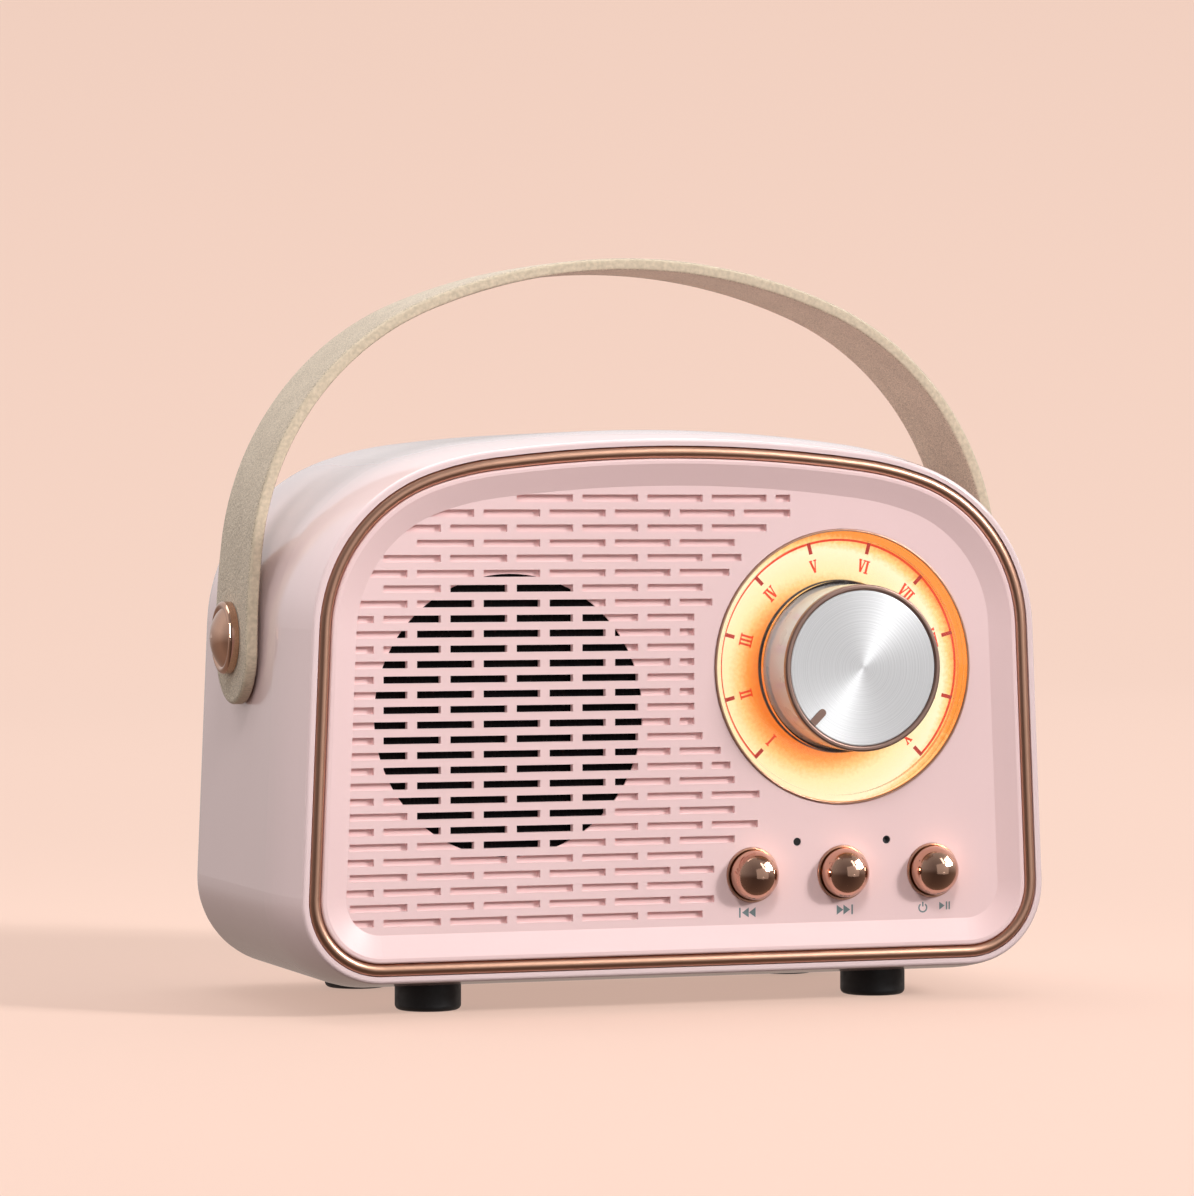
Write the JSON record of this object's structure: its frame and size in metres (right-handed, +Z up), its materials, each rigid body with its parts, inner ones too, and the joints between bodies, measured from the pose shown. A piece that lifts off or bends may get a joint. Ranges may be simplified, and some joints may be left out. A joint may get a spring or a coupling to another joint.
{
  "type": "portable radio",
  "caption": "Mini retro radio with a slotted grille, lit round volume dial, three domed buttons, rubber feet and a riveted leather carrying strap.",
  "frame": {"origin": "under the middle of the whole radio, at the bottom of its feet", "axes": "+X is the listener's right, +Y runs from the front grille to the back, +Z is up"},
  "size_m": [0.1134, 0.059, 0.0992],
  "materials": {
    "pink_gloss": "high gloss moulded plastic",
    "pink_satin": "satin moulded plastic",
    "bronze_trim": "satin bronze plating",
    "copper": "polished copper plating",
    "spun_aluminium": "spun with concentric grooves",
    "steel": "zinc plated",
    "black_cloth": "fine woven acoustic cloth",
    "black_foam": "foam and soft rubber",
    "speaker_paper": "pressed fibre",
    "ferrite": "sintered",
    "coil_wire": "enamelled winding",
    "clear_lens": "clear polished plastic",
    "dial_print": "back-lit translucent print",
    "white_plastic": "white moulded plastic",
    "board_green": "circuit board lacquer",
    "black_plastic": "fine texture",
    "lamp": "moulded lamp",
    "cell_wrap": "shrink-wrapped steel can",
    "lead_insulation": "soft insulation",
    "black_rubber": "matt rubber",
    "beige_leather": "vegetable-tanned, matt grain"
  },
  "bodies": {
    "housing": {"housing_shell": "pink_gloss", "rear_cover": "pink_gloss", "rear_cover_screws": "steel", "trim_ring": "bronze_trim", "front_panel": "pink_satin", "front_panel_screws": "steel", "speaker_cloth": "black_cloth", "speaker_gasket": "black_foam", "speaker_basket": "black_plastic", "speaker_screws": "steel", "speaker_surround": "black_foam", "speaker_spider": "black_cloth", "speaker_top_plate": "steel", "speaker_magnet": "ferrite", "speaker_pole": "steel", "dial_bezel": "bronze_trim", "dial_lens": "clear_lens", "dial_scale": "dial_print", "dial_light_box": "white_plastic", "lamps": "lamp", "volume_control": "black_plastic", "volume_control_nut": "steel", "button_collars": "bronze_trim", "button_switches": "black_plastic", "status_light_pipe": "clear_lens", "microphone_boot": "black_foam", "microphone": "steel", "control_board": "board_green", "control_board_screws": "steel", "battery_tray": "black_plastic", "battery_tray_screws": "steel", "battery_cell": "cell_wrap", "battery_contacts": "steel", "main_board": "board_green", "main_board_screws": "steel", "charging_socket": "steel", "audio_socket": "black_plastic", "card_socket": "steel", "board_components": "black_plastic", "lead_sockets": "white_plastic", "inner_leads": "lead_insulation", "feet": "black_rubber", "strap_rivets": "copper", "rivet_washers": "steel"},
    "knob": {"volume_shaft": "steel", "knob_body": "spun_aluminium", "knob_ring": "bronze_trim", "knob_face": "spun_aluminium", "knob_pointer": "bronze_trim"},
    "previous_button": {"previous_button": "copper", "previous_plunger": "black_plastic"},
    "next_button": {"next_button": "copper", "next_plunger": "black_plastic"},
    "power_button": {"power_button": "copper", "power_plunger": "black_plastic"},
    "strap": {"carrying_strap": "beige_leather"},
    "speaker_cone": {"speaker_cone": "speaker_paper", "speaker_dust_cap": "speaker_paper", "voice_coil": "coil_wire"}
  },
  "joints": [
    {"name": "knob_turn", "type": "hinge", "parent": "housing", "child": "knob", "pos_m": [0.02317, 0, 0.0445], "axis": [0, 1, 0], "range_deg": [0, 270]},
    {"name": "previous_press", "type": "slide", "parent": "housing", "child": "previous_button", "axis": [0, 1, 0], "range_m": [0, 0.0005], "stiffness_N_per_m": 400},
    {"name": "next_press", "type": "slide", "parent": "housing", "child": "next_button", "axis": [0, 1, 0], "range_m": [0, 0.0005], "stiffness_N_per_m": 400},
    {"name": "power_press", "type": "slide", "parent": "housing", "child": "power_button", "axis": [0, 1, 0], "range_m": [0, 0.0005], "stiffness_N_per_m": 400},
    {"name": "strap_swing", "type": "hinge", "parent": "housing", "child": "strap", "pos_m": [0, 0.0025, 0.0484], "axis": [1, 0, 0], "range_deg": [-38, 38]},
    {"name": "speaker_excursion", "type": "slide", "parent": "housing", "child": "speaker_cone", "axis": [0, 1, 0], "range_m": [-0.0005, 0.0005], "stiffness_N_per_m": 1900}
  ]
}
